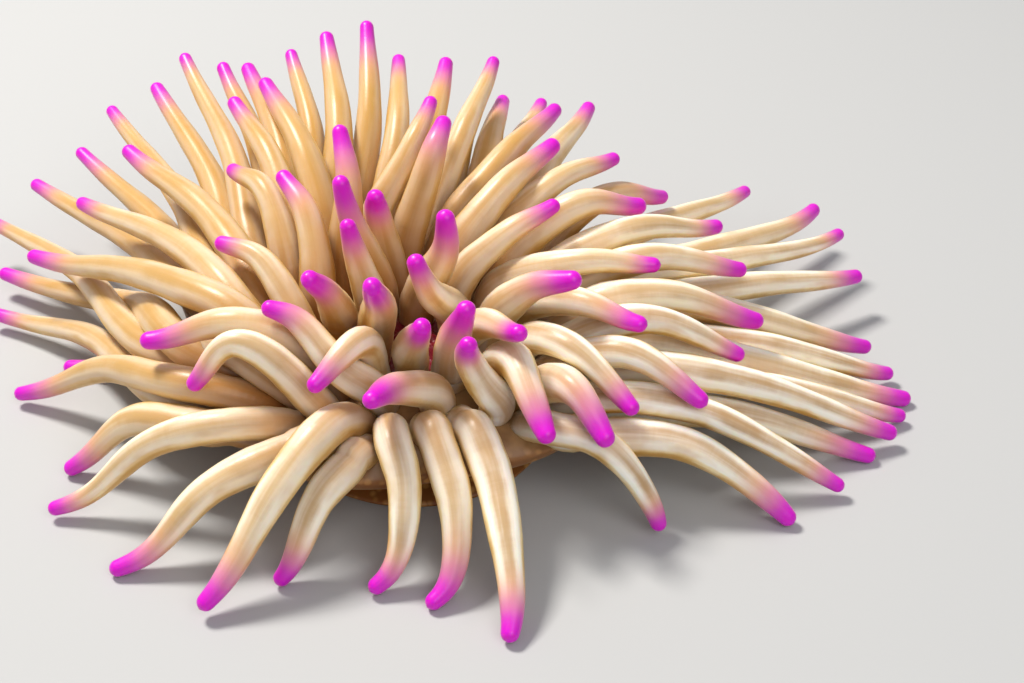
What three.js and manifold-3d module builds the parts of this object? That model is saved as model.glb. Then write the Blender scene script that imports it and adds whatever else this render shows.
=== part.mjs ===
// Sea anemone of the golden anemone kind, life size, with its column drawn down short and its crown
// of long tapering tentacles spread over the floor.
// Millimetres, +Z up. The axis of the foot is the Z axis, the foot and the lowest tentacles lie on
// z = 0, and -Y is the side the mouth is best seen from.

import * as THREE from "three";
import { mergeVertices } from "three/addons/utils/BufferGeometryUtils.js";
import Module from "manifold-3d";

// Trunk of the body
const FOOT_RADIUS = 33.0;
const FOOT_EDGE_RADIUS = 34.2;
const FOOT_THICKNESS = 4.0;
const WAIST_RADIUS = 27.0;
const WAIST_HEIGHT = 7.0;
const COLUMN_TOP = 16.7;
const PARAPET_UNDERSIDE = 11.4;
const PARAPET_LIP_RADIUS = 47.4;
const PARAPET_LIP_HEIGHT = 13.2;
const DISC_HEIGHT = 26.0;
const DISC_DROP = 9.0;
const DISC_RADIUS = 50.4;
const DISC_INNER_RADIUS = 37.2;
const DRAWN_IN_AT = 285;
const DRAWN_IN_SPREAD = 32;
const DRAWN_IN_SHARE = 0.75;
const MOUTH_RADIUS = 8.2;
const LIP_RISE = 1.6;
const LIP_RADIUS = 4.6;
const SLIT_LENGTH = 8.0;
const SLIT_WIDTH = 1.8;
const SLIT_DEPTH = 5.0;
const GAP = 0.3;
const TRUNK_FACETS = 26;
const MOUTH_FACETS = 12;

// Tentacles
const ROOT_GIRTH = 4.6;
const TIP_GIRTH = 1.95;
const TIP_BLUNTNESS = 0.84;
const TAPER_SHARE = 0.7;
const TAPER_FULLNESS = 1.25;
const NECK_SHARE = 0.12;
const NECK_DEPTH = 0.1;
const GIRTH_SPREAD = 0.06;
const GIRTH_TURN = 2.4;
const FLOOR_PRESS = 0.8;
const STATIONS = 19;
const LONG_SECTIONS = [0, 2, 5, 8, 11, 14, 17.5];
const SHORT_SECTIONS = [0, 3, 7, 11, 14, 17.5];
const SIDES = 6;
const FACET_SWELL = 1.05;
const BEND_EASE = 0.3;
const MID_SHARE_LEAST = 0.3;
const MID_SHARE_MOST = 0.7;
const MID_SWEEP = 0.85;
const ARCH_SPAN = 110;
const ROOT_PULL = 1.0;
const TIP_PULL = 0.8;

// Round one azimuth at the front the roots lean further over and the tentacles arch less
const FRONT_AT = 290;
const FRONT_SPREAD = 45;
const FRONT_LEAN = 26;
const FRONT_FLATNESS = 0.7;

// A gentle current bows the low tentacles and curls their tips, some more than others
const CURRENT_AZIMUTH = 172;
const DRIFT_HEIGHT = 40;
const TIP_DRIFT = 0.6;
const TIP_RISE = 0.35;
const CURL_REACH = 26;
const BOW = 6.5;
const DRIFT_SPREAD = 0.5;
const DRIFT_TURN = 1.7;

// Settling of the crown, in which tentacles that lie in one another push apart
const SETTLE_PASSES = 160;
const SETTLE_RATE = 0.5;
const SETTLE_SPREAD = 0.25;
const CLEARANCE = 1.1;
const FIXED_STATIONS = 2;
const SMOOTHINGS = 3;

// Margin of the disc, parted in sectors
const SECTORS = 6;
const OUTER_SLOTS = 48;

// The last cycle is unfinished: from one azimuth on every second tentacle is missing, and then all
const THIN_FROM = 228;
const BARE_FROM = 258;
const BARE_TO = 312;
const TURN = 360;

const DEGREE = Math.PI / 180;
const MERGE_TOLERANCE = 1e-4;
const LEAST_OVERLAP = 1e-3;
const SMOOTHING = 0.15;

// Each cycle of tentacles: where its roots stand on the disc, how far they lean outward from the
// upright, and its lie. A lie says, for a root at some azimuth, how far round the tip is swept from
// the root and what the tip's reach and height are. Roots in between take values in between.
const CYCLES = [
  {
    name: "tentacle_first",
    count: 6,
    turn: 30,
    radii: [12],
    lean: 8,
    arch: 8,
    sections: SHORT_SECTIONS,
    girth: 1.02,
    lie: [
      { at: 30, sweep: -115, reach: 12, height: 58 },
      { at: 90, sweep: -60, reach: 10, height: 62 },
      { at: 150, sweep: 25, reach: 16, height: 62 },
      { at: 210, sweep: 45, reach: 32, height: 62 },
      { at: 270, sweep: 10, reach: 32, height: 54 },
      { at: 330, sweep: -20, reach: 42, height: 46 },
    ],
  },
  {
    name: "tentacle_second",
    count: 6,
    turn: 0,
    radii: [18],
    lean: 15,
    arch: 12,
    sections: SHORT_SECTIONS,
    girth: 1.0,
    lie: [
      { at: 0, sweep: -20, reach: 44, height: 54 },
      { at: 60, sweep: -25, reach: 46, height: 52 },
      { at: 120, sweep: 25, reach: 22, height: 68 },
      { at: 180, sweep: 35, reach: 30, height: 58 },
      { at: 240, sweep: -5, reach: 45, height: 34 },
      { at: 300, sweep: 0, reach: 30, height: 56 },
    ],
  },
  {
    name: "tentacle_third",
    count: 12,
    turn: 15,
    radii: [26],
    lean: 22,
    arch: 16,
    sections: SHORT_SECTIONS,
    girth: 1.0,
    lie: [
      { at: 15, sweep: -32, reach: 60, height: 42 },
      { at: 45, sweep: -37, reach: 64, height: 40 },
      { at: 75, sweep: -20, reach: 68, height: 52 },
      { at: 105, sweep: 13, reach: 22, height: 58 },
      { at: 135, sweep: -20, reach: 48, height: 66 },
      { at: 195, sweep: -32, reach: 54, height: 46 },
      { at: 225, sweep: -33, reach: 68, height: 34 },
      { at: 255, sweep: -50, reach: 42, height: 42 },
      { at: 285, sweep: -24, reach: 50, height: 44 },
      { at: 315, sweep: -10, reach: 57, height: 28 },
      { at: 345, sweep: -17, reach: 64, height: 26 },
    ],
  },
  {
    name: "tentacle_fourth",
    count: 24,
    turn: 7.5,
    radii: [33.5],
    lean: 30,
    arch: 26,
    sections: LONG_SECTIONS,
    girth: 1.0,
    lie: [
      { at: 7.5, sweep: -2, reach: 90, height: 28 },
      { at: 37.5, sweep: -12, reach: 90, height: 38 },
      { at: 52.5, sweep: -20, reach: 72, height: 44 },
      { at: 82.5, sweep: -18, reach: 88, height: 52 },
      { at: 97.5, sweep: -14, reach: 52, height: 64 },
      { at: 112.5, sweep: -27, reach: 62, height: 64 },
      { at: 127.5, sweep: -8, reach: 92, height: 60 },
      { at: 142.5, sweep: -17, reach: 90, height: 58 },
      { at: 157.5, sweep: -20, reach: 68, height: 52 },
      { at: 172.5, sweep: -31, reach: 106, height: 46 },
      { at: 202.5, sweep: -45, reach: 114, height: 20 },
      { at: 217.5, sweep: -50, reach: 102, height: 4 },
      { at: 232.5, sweep: -28, reach: 56, height: 30 },
      { at: 247.5, sweep: -10, reach: 87, height: 2 },
      { at: 262.5, sweep: 1, reach: 66, height: 2 },
      { at: 277.5, sweep: -3, reach: 71, height: 2 },
      { at: 292.5, sweep: -7, reach: 86, height: 2 },
      { at: 307.5, sweep: -15, reach: 43, height: 54 },
      { at: 322.5, sweep: -8, reach: 66, height: 30 },
      { at: 345, sweep: 5, reach: 80, height: 24 },
    ],
  },
  {
    name: "margin",
    count: OUTER_SLOTS,
    turn: 0,
    radii: [40.5, 46.5],
    lean: 58,
    arch: 27,
    sections: LONG_SECTIONS,
    girth: 0.96,
    lie: [
      { at: 0, sweep: 4, reach: 132, height: 2 },
      { at: 15, sweep: -3, reach: 126, height: 4 },
      { at: 24, sweep: 2, reach: 137, height: 14 },
      { at: 37.5, sweep: 0, reach: 146, height: 14 },
      { at: 45, sweep: -1, reach: 132, height: 18 },
      { at: 52.5, sweep: -9, reach: 95, height: 30 },
      { at: 60, sweep: 6, reach: 118, height: 38 },
      { at: 75, sweep: 4, reach: 105, height: 44 },
      { at: 90, sweep: -12, reach: 98, height: 58 },
      { at: 105, sweep: -10, reach: 100, height: 58 },
      { at: 112.5, sweep: -13, reach: 100, height: 70 },
      { at: 135, sweep: -17, reach: 110, height: 56 },
      { at: 150, sweep: -26, reach: 125, height: 56 },
      { at: 165, sweep: -33, reach: 140, height: 38 },
      { at: 187.5, sweep: -40, reach: 150, height: 12 },
      { at: 202.5, sweep: -44, reach: 128, height: 6 },
      { at: 210, sweep: -37, reach: 105, height: 2 },
      { at: 217.5, sweep: -25, reach: 90, height: 2 },
      { at: 225, sweep: -23, reach: 96, height: 2 },
      { at: 240, sweep: -20, reach: 92, height: 2 },
      { at: 255, sweep: -12, reach: 70, height: 2 },
      { at: 315, sweep: 11, reach: 74, height: 2 },
      { at: 323, sweep: 14, reach: 104, height: 2 },
      { at: 337.5, sweep: 16, reach: 119, height: 2 },
    ],
  },
];

const wasm = await Module();
wasm.setup();

const group = new THREE.Group();

const FLESH = { color: 0xd9b98c, roughness: 0.42, metalness: 0.0 };
const TRUNK = { color: 0xc99a63, roughness: 0.5, metalness: 0.0 };
const DISC = { color: 0xc4a08c, roughness: 0.45, metalness: 0.0 };
const LIPS = { color: 0x8e3a4c, roughness: 0.4, metalness: 0.0 };

/** Height of the upper face of the disc at a distance from the axis. */
function discTop(radius) {
  const share = Math.min(radius / DISC_RADIUS, 1);
  return DISC_HEIGHT - DISC_DROP * share ** 4;
}

/** A bell curve of height one. */
function bell(value, middle, spread) {
  return Math.exp(-(((value - middle) / spread) ** 2));
}

/** Share of its full width that the margin has at a point, where it is drawn in on one side. */
function marginShare(x, y) {
  const azimuth = (Math.atan2(y, x) / DEGREE + TURN) % TURN;
  return 1 - DRAWN_IN_SHARE * bell(azimuth, DRAWN_IN_AT, DRAWN_IN_SPREAD);
}

/** Lowest height that a station of the given girth may have above a point of the floor. */
function bed(x, y, girth) {
  const radius = Math.hypot(x, y);
  const edge = DISC_INNER_RADIUS + (DISC_RADIUS - DISC_INNER_RADIUS) * marginShare(x, y);
  if (radius > edge + girth) {
    return girth * FLOOR_PRESS;
  }
  return discTop(radius) + girth * FACET_SWELL + GAP;
}

/** A point from an azimuth in degrees, a distance from the axis and a height. */
function place(azimuth, reach, height) {
  const angle = azimuth * DEGREE;
  return new THREE.Vector3(reach * Math.cos(angle), reach * Math.sin(angle), height);
}

/** Half-thickness of a tentacle at a share of its length. */
function girthAt(tentacle, share) {
  const rise = Math.min((1 - share) / TAPER_SHARE, 1);
  const fill = 1 - (1 - rise) ** TAPER_FULLNESS;
  const neck = 1 - NECK_DEPTH * Math.max(1 - share / NECK_SHARE, 0) ** 2;
  return tentacle.girth * neck * (TIP_GIRTH + (ROOT_GIRTH - TIP_GIRTH) * fill);
}

/** A point of the cubic curve between two points with a tangent at each. */
function hermite(start, startPull, end, endPull, t) {
  const square = t * t;
  const cube = square * t;
  return start
    .clone()
    .multiplyScalar(2 * cube - 3 * square + 1)
    .addScaledVector(startPull, cube - 2 * square + t)
    .addScaledVector(end, 3 * square - 2 * cube)
    .addScaledVector(endPull, cube - square);
}

/** The lie of a cycle for a root at an azimuth, between the two entries on either side of it. */
function lieAt(lie, azimuth) {
  const next = lie.findIndex((entry) => entry.at > azimuth);
  const after = lie[Math.max(next, 0)];
  const before = lie[(next > 0 ? next : lie.length) - 1];
  const span = (after.at - before.at + TURN) % TURN;
  const t = ((azimuth - before.at + TURN) % TURN) / span;
  const mix = THREE.MathUtils.lerp;
  return {
    sweep: mix(before.sweep, after.sweep, t),
    reach: mix(before.reach, after.reach, t),
    height: mix(before.height, after.height, t),
  };
}

/** Whether the last, unfinished cycle has no tentacle in a slot. */
function isMissing(cycle, slot, azimuth) {
  if (cycle.count !== OUTER_SLOTS || azimuth < THIN_FROM || azimuth > BARE_TO) {
    return false;
  }
  return azimuth > BARE_FROM || slot % 2 === 1;
}

/** The stations of a tentacle from its root to its tip, before the crown settles. */
function route(cycle, azimuth, radius, drift) {
  const lie = lieAt(cycle.lie, azimuth);
  const root = place(azimuth, radius, discTop(radius));
  const tip = place(azimuth + lie.sweep, lie.reach, lie.height);
  const along = tip.clone().sub(root).normalize();
  const front = bell(azimuth, FRONT_AT, FRONT_SPREAD);
  const shortness = Math.max(1 - root.distanceTo(tip) / ARCH_SPAN, 0);
  const arch = cycle.arch * shortness * (1 - FRONT_FLATNESS * front);
  const midHeight = (root.z + tip.z) / 2 + arch;
  const middle = place(azimuth + MID_SWEEP * lie.sweep, (radius + lie.reach) / 2, midHeight);
  const current = place(CURRENT_AZIMUTH, drift * Math.max(1 - lie.height / DRIFT_HEIGHT, 0), 0);
  const acrossCurrent = current.clone().addScaledVector(along, -current.dot(along));
  middle.addScaledVector(acrossCurrent, -BOW);
  const near = middle.distanceTo(root);
  const far = tip.distanceTo(middle);
  const lean = (cycle.lean + FRONT_LEAN * front) * DEGREE;
  const rootPull = place(azimuth, Math.sin(lean), Math.cos(lean)).multiplyScalar(near * ROOT_PULL);
  const tipPull = tip.clone().sub(middle).multiplyScalar(TIP_PULL);
  const curl = Math.min(far, CURL_REACH);
  tipPull.addScaledVector(current, TIP_DRIFT * curl);
  tipPull.z += TIP_RISE * curl * drift;
  const clamp = THREE.MathUtils.clamp;
  const midShare = clamp(near / (near + far), MID_SHARE_LEAST, MID_SHARE_MOST);
  const stations = [];
  for (let k = 0; k < STATIONS; k += 1) {
    const share = k / (STATIONS - 1);
    if (share < midShare) {
      const t = share / midShare;
      stations.push(hermite(root, rootPull, middle, along.clone().multiplyScalar(near), t));
    } else {
      const t = (share - midShare) / (1 - midShare);
      stations.push(hermite(middle, along.clone().multiplyScalar(far), tip, tipPull, t));
    }
  }
  return stations;
}

/** Every tentacle of the crown, with the node it belongs to, its root slot and its stations. */
function growCrown() {
  const crown = [];
  for (const cycle of CYCLES) {
    for (let slot = 0; slot < cycle.count; slot += 1) {
      const azimuth = cycle.turn + (TURN * slot) / cycle.count;
      if (!isMissing(cycle, slot, azimuth)) {
        const drift = 1 + DRIFT_SPREAD * Math.sin(DRIFT_TURN * crown.length);
        const spread = 1 + GIRTH_SPREAD * Math.sin(GIRTH_TURN * crown.length);
        crown.push({
          cycle: cycle.name,
          slot,
          girth: cycle.girth * spread,
          sections: cycle.sections,
          stations: route(cycle, azimuth, cycle.radii[slot % cycle.radii.length], drift),
        });
      }
    }
  }
  return crown;
}

/** Lifts the stations of a crown off the disc and the floor. */
function lift(crown) {
  for (const tentacle of crown) {
    for (let k = FIXED_STATIONS; k < STATIONS; k += 1) {
      const station = tentacle.stations[k];
      const girth = girthAt(tentacle, k / (STATIONS - 1));
      station.z = Math.max(station.z, bed(station.x, station.y, girth));
    }
  }
}

/** Adds the pushes that two tentacles give each other. */
function pushApart(first, second) {
  for (let a = 0; a < STATIONS; a += 1) {
    const near = first.stations[a];
    const nearGirth = girthAt(first, a / (STATIONS - 1));
    for (let b = 0; b < STATIONS; b += 1) {
      const far = second.stations[b];
      const need = nearGirth + girthAt(second, b / (STATIONS - 1)) + CLEARANCE;
      const dx = near.x - far.x;
      const dy = near.y - far.y;
      const dz = near.z - far.z;
      const square = dx * dx + dy * dy + dz * dz;
      if (square < need * need && a + b >= FIXED_STATIONS) {
        const distance = Math.sqrt(square);
        const push = (SETTLE_RATE * (need - distance)) / distance;
        first.pushes[a].x += dx * push;
        first.pushes[a].y += dy * push;
        first.pushes[a].z += dz * push;
        second.pushes[b].x -= dx * push;
        second.pushes[b].y -= dy * push;
        second.pushes[b].z -= dz * push;
      }
    }
  }
}

/** Evens out how far the stations of a tentacle have moved along its length. */
function evenOut(tentacle) {
  const moved = tentacle.stations.map((station, k) => station.clone().sub(tentacle.start[k]));
  for (let k = FIXED_STATIONS; k < STATIONS; k += 1) {
    const before = moved[k - 1];
    const after = moved[Math.min(k + 1, STATIONS - 1)];
    const mean = before.clone().add(after).multiplyScalar(SETTLE_SPREAD);
    mean.addScaledVector(moved[k], 1 - 2 * SETTLE_SPREAD);
    tentacle.stations[k].copy(tentacle.start[k]).add(mean);
  }
}

/** Lets the crown settle until its tentacles lie beside one another. */
function settle(crown) {
  lift(crown);
  for (const tentacle of crown) {
    tentacle.start = tentacle.stations.map((station) => station.clone());
  }
  for (let pass = 0; pass < SETTLE_PASSES; pass += 1) {
    for (const tentacle of crown) {
      tentacle.pushes = tentacle.stations.map(() => new THREE.Vector3());
    }
    for (let i = 0; i < crown.length; i += 1) {
      for (let j = i + 1; j < crown.length; j += 1) {
        pushApart(crown[i], crown[j]);
      }
    }
    for (const tentacle of crown) {
      for (let k = FIXED_STATIONS; k < STATIONS; k += 1) {
        tentacle.stations[k].add(tentacle.pushes[k]);
      }
      evenOut(tentacle);
    }
    lift(crown);
  }
}

/** Takes the kinks out of the settled tentacles: each station moves towards its neighbours' mean. */
function soften(crown) {
  for (let pass = 0; pass < SMOOTHINGS; pass += 1) {
    for (const tentacle of crown) {
      const before = tentacle.stations.map((station) => station.clone());
      for (let k = 1; k < STATIONS - 1; k += 1) {
        const mean = before[k - 1].clone().lerp(before[k + 1], 0.5);
        tentacle.stations[k].lerp(mean, 0.5);
      }
    }
  }
  lift(crown);
}

/** A point at a fractional station. */
function stationAt(stations, k) {
  const low = Math.floor(k);
  return stations[low].clone().lerp(stations[low + 1], k - low);
}

/** A closed tapering tube along the stations of a tentacle, with a blunt tip. */
function tube(tentacle, extra, onDisc) {
  const positions = [];
  const { stations, sections } = tentacle;
  const tangent = new THREE.Vector3();
  const across = new THREE.Vector3();
  const side = new THREE.Vector3(Math.sin(GIRTH_TURN), Math.cos(GIRTH_TURN), 0);
  sections.forEach((k, row) => {
    const share = k / (STATIONS - 1);
    const [ahead, behind] = [Math.floor(k) + 1, Math.max(Math.ceil(k) - 1, 0)];
    tangent.copy(stations[ahead]).sub(stations[behind]).normalize();
    const seated = onDisc && row === 0;
    if (seated) {
      tangent.set(0, 0, 1);
    } else if (onDisc && row === 1) {
      tangent.z += BEND_EASE;
      tangent.normalize();
    }
    side.addScaledVector(tangent, -side.dot(tangent)).normalize();
    across.crossVectors(tangent, side);
    const blunt = row === sections.length - 1 ? TIP_BLUNTNESS : 1;
    const girth = girthAt(tentacle, share) * blunt * FACET_SWELL + extra;
    for (let s = 0; s < SIDES; s += 1) {
      const angle = (2 * Math.PI * s) / SIDES;
      const point = stationAt(stations, k);
      point.addScaledVector(side, girth * Math.cos(angle));
      point.addScaledVector(across, girth * Math.sin(angle));
      if (seated) {
        point.z = discTop(Math.hypot(point.x, point.y)) + GAP;
      }
      positions.push(point.x, point.y, Math.max(point.z, 0));
    }
  });
  const tip = stations[STATIONS - 1];
  tangent.copy(tip).sub(stations[STATIONS - 2]).normalize();
  tip.clone().addScaledVector(tangent, extra).toArray(positions, positions.length);
  positions[positions.length - 1] = Math.max(positions[positions.length - 1], GAP);
  const faces = [];
  for (let s = 1; s < SIDES - 1; s += 1) {
    faces.push(0, s + 1, s);
  }
  for (let row = 0; row < sections.length - 1; row += 1) {
    for (let s = 0; s < SIDES; s += 1) {
      const a = row * SIDES + s;
      const b = row * SIDES + ((s + 1) % SIDES);
      faces.push(a, b, b + SIDES);
      faces.push(a, b + SIDES, a + SIDES);
    }
  }
  const last = (sections.length - 1) * SIDES;
  for (let s = 0; s < SIDES; s += 1) {
    faces.push(last + s, last + ((s + 1) % SIDES), last + SIDES);
  }
  const geometry = new THREE.BufferGeometry();
  geometry.setAttribute("position", new THREE.Float32BufferAttribute(positions, 3));
  geometry.setIndex(faces);
  return geometry;
}

/** The closed body of a geometry, with its doubled points joined. */
function body(geometry) {
  const bare = new THREE.BufferGeometry();
  bare.setAttribute("position", geometry.getAttribute("position"));
  bare.setIndex(geometry.getIndex());
  const merged = mergeVertices(bare, MERGE_TOLERANCE);
  const index = merged.getIndex().array;
  const faces = [];
  for (let f = 0; f < index.length; f += 3) {
    const [a, b, c] = [index[f], index[f + 1], index[f + 2]];
    if (a !== b && b !== c && c !== a) {
      faces.push(a, b, c);
    }
  }
  const mesh = new wasm.Mesh({
    numProp: 3,
    vertProperties: new Float32Array(merged.getAttribute("position").array),
    triVerts: new Uint32Array(faces),
  });
  return new wasm.Manifold(mesh);
}

/** The largest single piece of a body. */
function largest(solid) {
  const pieces = solid.decompose();
  return pieces.reduce((best, piece) => (piece.volume() > best.volume() ? piece : best));
}

/** A geometry with the faces of a body. */
function shape(solid) {
  const mesh = solid.getMesh();
  const geometry = new THREE.BufferGeometry();
  const positions = new THREE.Float32BufferAttribute(mesh.vertProperties, 3);
  geometry.setAttribute("position", positions);
  geometry.setIndex(new THREE.Uint32BufferAttribute(mesh.triVerts, 1));
  geometry.computeVertexNormals();
  return geometry;
}

/** Adds one named piece of the animal. */
function add(name, solid, look) {
  const mesh = new THREE.Mesh(shape(solid), new THREE.MeshStandardMaterial(look));
  mesh.name = name;
  group.add(mesh);
}

/** A surface turned about the upright axis from the outline of its section. */
function turnedSurface(outline, facets) {
  const points = outline.map(([radius, height]) => new THREE.Vector2(radius, height));
  return new THREE.LatheGeometry(points, facets).rotateX(Math.PI / 2);
}

/** A solid turned about the upright axis from the outline of its section. */
function turned(outline, facets) {
  return body(turnedSurface(outline, facets));
}

/** The points of a margin moved inward where it is drawn in, beyond its inner radius. */
function drawnIn(surface, inner) {
  const points = surface.getAttribute("position");
  for (let k = 0; k < points.count; k += 1) {
    const [x, y] = [points.getX(k), points.getY(k)];
    const radius = Math.hypot(x, y);
    const scale = (inner + (radius - inner) * marginShare(x, y)) / radius;
    points.setXY(k, x * scale, y * scale);
  }
  return surface;
}

/** Points of the disc's upper face from one distance from the axis to another. */
function topOutline(from, to, steps) {
  const points = [];
  for (let k = 0; k <= steps; k += 1) {
    const radius = from + ((to - from) * k) / steps;
    points.push([radius, discTop(radius)]);
  }
  return points;
}

/** Whether the boxes round two bodies meet. */
function boxesMeet(first, second) {
  const a = first.boundingBox();
  const b = second.boundingBox();
  return [0, 1, 2].every((axis) => a.min[axis] < b.max[axis] && b.min[axis] < a.max[axis]);
}

/** The wedge of space between two azimuths, out to the edge of the disc and beyond. */
function wedge(from, to) {
  const outline = new THREE.Shape();
  const reach = 2 * DISC_RADIUS;
  outline.moveTo(0, 0);
  outline.lineTo(reach * Math.cos(from), reach * Math.sin(from));
  outline.lineTo(reach * Math.cos((from + to) / 2), reach * Math.sin((from + to) / 2));
  outline.lineTo(reach * Math.cos(to), reach * Math.sin(to));
  const depth = 2 * DISC_HEIGHT;
  return body(new THREE.ExtrudeGeometry(outline, { depth, bevelEnabled: false }));
}

const crown = growCrown();
settle(crown);
soften(crown);

const foot = turned(
  [
    [0, 0],
    [FOOT_RADIUS, 0],
    [FOOT_EDGE_RADIUS, FOOT_THICKNESS / 3],
    [FOOT_RADIUS - 1, (2 * FOOT_THICKNESS) / 3],
    [WAIST_RADIUS + 2, FOOT_THICKNESS],
    [0, FOOT_THICKNESS],
  ],
  TRUNK_FACETS,
);
add("foot", foot, TRUNK);

const column = turned(
  [
    [0, FOOT_THICKNESS + GAP],
    [WAIST_RADIUS + 1.6, FOOT_THICKNESS + GAP],
    [WAIST_RADIUS, WAIST_HEIGHT],
    [WAIST_RADIUS + 3, PARAPET_UNDERSIDE - 1.6],
    [DISC_INNER_RADIUS, PARAPET_UNDERSIDE],
    [DISC_INNER_RADIUS, COLUMN_TOP],
    [0, COLUMN_TOP],
  ],
  TRUNK_FACETS,
);
add("column", column, TRUNK);

const discFloor = COLUMN_TOP + GAP;
const discInner = MOUTH_RADIUS + GAP;
const disc = turned(
  [
    ...topOutline(discInner, DISC_INNER_RADIUS, 3).reverse(),
    [discInner, discFloor],
    [DISC_INNER_RADIUS, discFloor],
    [DISC_INNER_RADIUS, discTop(DISC_INNER_RADIUS)],
  ],
  TRUNK_FACETS,
);
add("oral_disc", disc, DISC);

const slit = new THREE.CylinderGeometry(SLIT_LENGTH / 2, SLIT_LENGTH / 4, SLIT_DEPTH, MOUTH_FACETS);
slit.rotateX(Math.PI / 2);
slit.scale(1, SLIT_WIDTH / SLIT_LENGTH, 1);
slit.translate(0, 0, DISC_HEIGHT + LIP_RISE - SLIT_DEPTH / 2 + GAP);
const mouth = turned(
  [
    [0, discFloor],
    [MOUTH_RADIUS, discFloor],
    [MOUTH_RADIUS, DISC_HEIGHT],
    [LIP_RADIUS, DISC_HEIGHT + LIP_RISE],
    [LIP_RADIUS / 2, DISC_HEIGHT + LIP_RISE],
    [0, DISC_HEIGHT + LIP_RISE / 2],
  ],
  MOUTH_FACETS,
).subtract(body(slit));
add("mouth", mouth, LIPS);

// The margin of the disc, which carries the tentacles of the last cycle
const rimInner = DISC_INNER_RADIUS + GAP;
const rimSurface = turnedSurface(
  [
    ...topOutline(rimInner, DISC_RADIUS, 3).reverse(),
    [rimInner, PARAPET_UNDERSIDE],
    [(rimInner + PARAPET_LIP_RADIUS) / 2, PARAPET_UNDERSIDE + 0.3],
    [PARAPET_LIP_RADIUS, PARAPET_LIP_HEIGHT],
    [DISC_RADIUS, discTop(DISC_RADIUS)],
  ],
  TRUNK_FACETS,
);
const rim = body(drawnIn(rimSurface, rimInner));

const nodes = [];
for (const tentacle of crown.filter((one) => one.cycle !== "margin")) {
  nodes.push({
    name: `${tentacle.cycle}_${String(tentacle.slot + 1).padStart(2, "0")}`,
    solid: body(tube(tentacle, 0, true)),
    fat: body(tube(tentacle, GAP, true)),
    look: FLESH,
  });
}
const perSector = OUTER_SLOTS / SECTORS;
for (let sector = 0; sector < SECTORS; sector += 1) {
  const from = ((sector * perSector - 0.5) * 2 * Math.PI) / OUTER_SLOTS;
  const to = (((sector + 1) * perSector - 0.5) * 2 * Math.PI) / OUTER_SLOTS;
  const parting = GAP / 2 / PARAPET_LIP_RADIUS;
  let solid = rim.intersect(wedge(from + parting, to - parting));
  let fat = null;
  for (const tentacle of crown.filter((one) => one.cycle === "margin")) {
    if (Math.floor(tentacle.slot / perSector) !== sector) {
      solid = solid.subtract(body(tube(tentacle, GAP, false)));
    }
  }
  for (const tentacle of crown.filter((one) => one.cycle === "margin")) {
    if (Math.floor(tentacle.slot / perSector) === sector) {
      solid = solid.add(body(tube(tentacle, 0, false)));
      const grown = body(tube(tentacle, GAP, false));
      fat = fat === null ? grown : fat.add(grown);
    }
  }
  nodes.push({ name: `margin_${sector + 1}`, solid, fat, look: FLESH });
}

for (let i = nodes.length - 1; i >= 0; i -= 1) {
  for (let j = i - 1; j >= 0; j -= 1) {
    const [upper, lower] = [nodes[i], nodes[j]];
    if (boxesMeet(upper.fat, lower.solid)) {
      if (upper.fat.intersect(lower.solid).volume() > LEAST_OVERLAP) {
        lower.solid = largest(lower.solid.subtract(upper.fat));
      }
    }
  }
}
for (const node of nodes) {
  add(node.name, largest(node.solid.asOriginal().simplify(SMOOTHING)), node.look);
}

export default group;
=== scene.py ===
"""Looks of a life-size sea anemone of the golden anemone kind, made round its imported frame.

One skin of soft flesh stands for every solid of the animal. It is one mesh of closed shells: a
turned trunk (foot, column, parapet, disc and lips), and a crown of tapering tentacles, each a tube
carried along a path, with its root sunk in the trunk. Lengths are worked out in millimetres and
angles in degrees, and the mesh is in metres.
"""

import logging
import math
from dataclasses import dataclass, field
from enum import Enum

import bpy
import numpy as np
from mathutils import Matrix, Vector


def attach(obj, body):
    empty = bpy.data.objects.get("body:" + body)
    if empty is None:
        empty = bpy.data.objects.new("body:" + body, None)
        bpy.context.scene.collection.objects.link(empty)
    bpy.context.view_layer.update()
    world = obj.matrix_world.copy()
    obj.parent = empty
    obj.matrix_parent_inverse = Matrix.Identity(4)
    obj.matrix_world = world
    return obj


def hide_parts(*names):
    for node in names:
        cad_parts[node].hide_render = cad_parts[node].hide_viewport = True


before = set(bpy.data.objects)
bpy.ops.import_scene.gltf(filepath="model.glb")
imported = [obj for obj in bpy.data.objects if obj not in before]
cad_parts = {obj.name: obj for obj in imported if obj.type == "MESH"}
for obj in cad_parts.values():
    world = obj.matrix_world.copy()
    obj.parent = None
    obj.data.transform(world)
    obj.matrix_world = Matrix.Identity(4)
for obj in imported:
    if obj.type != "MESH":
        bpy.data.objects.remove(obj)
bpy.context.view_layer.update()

LOG = logging.getLogger("anemone")
MM = 0.001
IMAGE_WIDTH = 1024
SENSOR_MM = 36.0
BAKE_MAP = "OFBake"
TURN = 360.0
QUARTER = 0.25
TINY = 1e-9

Array = np.ndarray
Tree = bpy.types.NodeTree
Socket = bpy.types.NodeSocket

# Where a colour's passage begins and ends, and how much of the colour there is at its end.
Rise = tuple[float, float, float]


class Zone(Enum):
    """The kinds of flesh that one material shades in turn."""

    TENTACLE = 0.0
    TRUNK = 1.0


@dataclass(frozen=True)
class Lie:
    """How a tentacle lies whose root stands at an azimuth of the disc.

    The tip is swept round from the root's azimuth, and has a reach from the axis and a height.
    """

    at: float
    sweep: float
    reach: float
    height: float


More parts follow.
